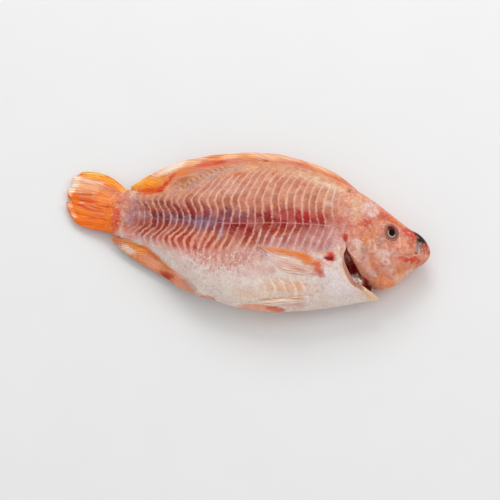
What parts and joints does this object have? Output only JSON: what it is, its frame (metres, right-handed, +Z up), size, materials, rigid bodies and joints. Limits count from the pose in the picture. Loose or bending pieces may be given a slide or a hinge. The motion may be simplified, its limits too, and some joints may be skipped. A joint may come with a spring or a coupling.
{
  "type": "whole raw fish",
  "caption": "Whole raw red fish lying on its left side, deep-bodied, scaled, with folded fins, an open gill slit and eyes set in sockets.",
  "frame": {"origin": "under the middle of the fish, on the surface it lies on", "axes": "+X towards the snout, +Y towards the back, +Z up out of the fish's right side"},
  "size_m": [0.301, 0.1392, 0.0399],
  "materials": {
    "fish_skin": "wet raw fish skin, pink-red with paler seams between the muscle bands, white belly",
    "fish_fin": "wet translucent fin membrane over fine rays, orange",
    "fish_flesh": "wet dark red gill flesh",
    "fish_eye": "clear wet cornea over a pale iris and a black pupil"
  },
  "bodies": {
    "root": {"fish": "fish_skin", "eye_right": "fish_eye", "eye_left": "fish_eye"}
  },
  "joints": []
}
